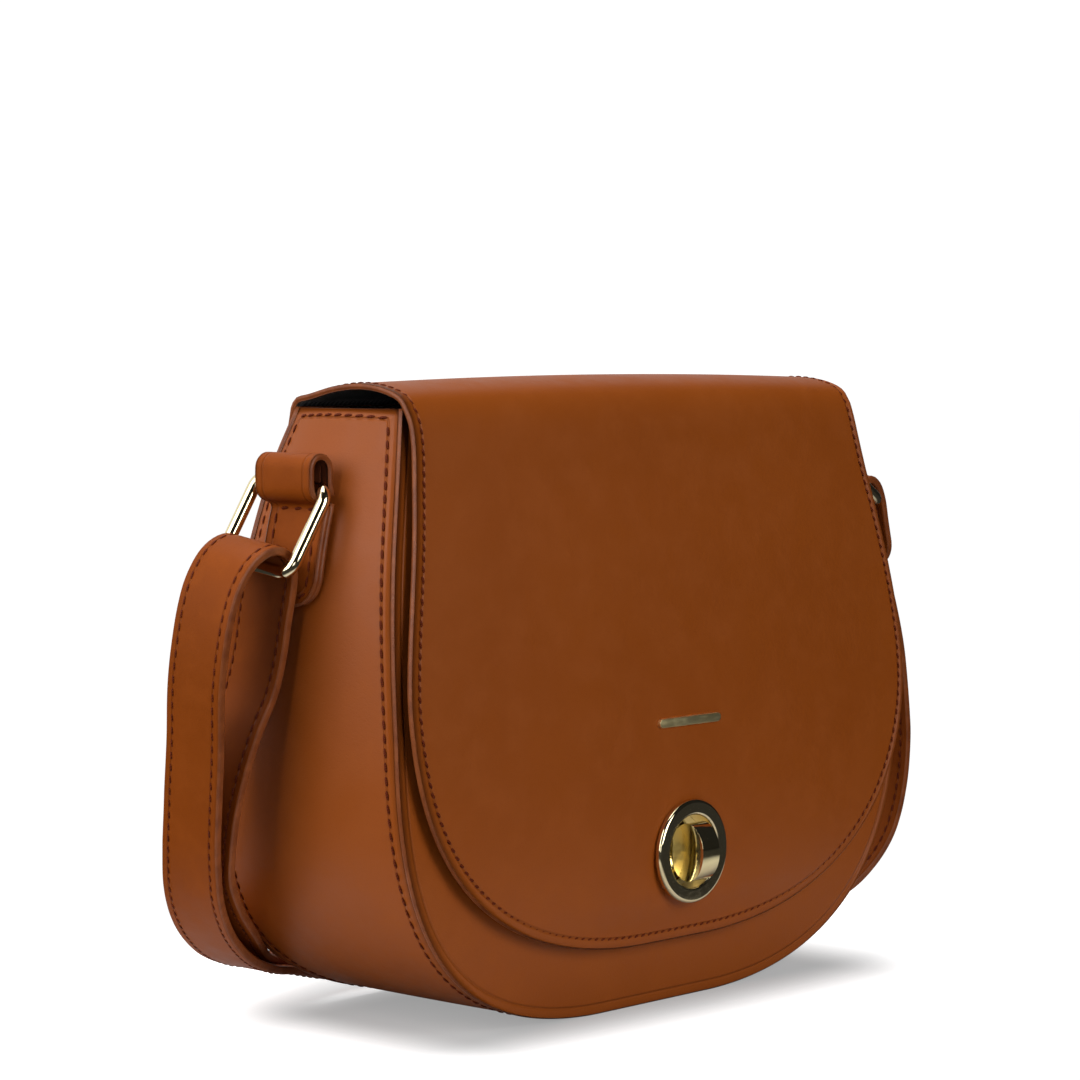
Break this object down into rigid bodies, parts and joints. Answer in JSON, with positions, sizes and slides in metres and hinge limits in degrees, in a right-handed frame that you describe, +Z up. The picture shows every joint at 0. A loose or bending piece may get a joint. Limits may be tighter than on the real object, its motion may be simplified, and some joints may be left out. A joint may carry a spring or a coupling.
{
  "type": "sling bag",
  "caption": "Small saddle-shaped tan leather sling bag with a full flap, a brass turn lock, side rings and an adjustable flat shoulder strap.",
  "frame": {"origin": "on the floor, at the centre of the flat of the base, midway between the bag's ends", "axes": "+X to the right end of the bag, -Y out of the front with the flap, +Z up"},
  "size_m": [0.3401, 0.1416, 0.2067],
  "materials": {
    "leather": "smooth tan leather, semi-gloss",
    "strap_leather": "smooth tan leather, doubled and stitched",
    "lining": "black twill lining",
    "board": "stiffening board",
    "brass": "polished pale gold plating",
    "steel": "plain bright steel"
  },
  "bodies": {
    "bag": {"front_panel": "leather", "back_panel": "leather", "gusset": "leather", "flap_tail": "leather", "strap_tab_left": "leather", "strap_tab_right": "leather", "strap_main": "strap_leather", "strap_doubled_run": "strap_leather", "strap_end": "strap_leather", "front_lining": "lining", "back_lining": "lining", "gusset_lining": "lining", "inner_pocket": "lining", "front_stiffener": "board", "back_stiffener": "board", "base_stiffener": "board", "lock_base_plate": "brass", "strap_buckle": "brass", "lock_backing_plate": "steel", "lock_rivet_1": "steel", "lock_rivet_2": "steel", "lock_spring_washer": "steel"},
    "flap": {"flap_leather": "leather", "flap_lining": "lining", "flap_bar": "brass", "lock_bezel": "brass", "lock_back_ring": "steel", "lock_screw_1": "steel", "lock_screw_2": "steel", "lock_screw_3": "steel", "lock_screw_4": "steel"},
    "knob": {"lock_knob": "brass", "lock_spindle": "steel", "lock_clip": "steel"},
    "left_ring": {"ring_left": "brass", "strap_fold_left": "strap_leather"},
    "right_ring": {"ring_right": "brass", "strap_fold_right": "strap_leather"}
  },
  "joints": [
    {"name": "flap_hinge", "type": "hinge", "parent": "bag", "child": "flap", "pos_m": [0, 0.024, 0.199], "axis": [-1, 0, 0], "range_deg": [0, 150]},
    {"name": "knob_turn", "type": "hinge", "parent": "bag", "child": "knob", "pos_m": [0, -0.0502, 0.0514], "axis": [0, 1, 0], "range_deg": [0, 90]},
    {"name": "left_ring_swing", "type": "hinge", "parent": "bag", "child": "left_ring", "pos_m": [-0.1275, 0.0045, 0.1745], "axis": [0, 0.9898, 0.1426], "range_deg": [0, 20]},
    {"name": "right_ring_swing", "type": "hinge", "parent": "bag", "child": "right_ring", "pos_m": [0.1275, 0.0045, 0.1745], "axis": [0, -1, 0], "range_deg": [-20, 20]}
  ]
}
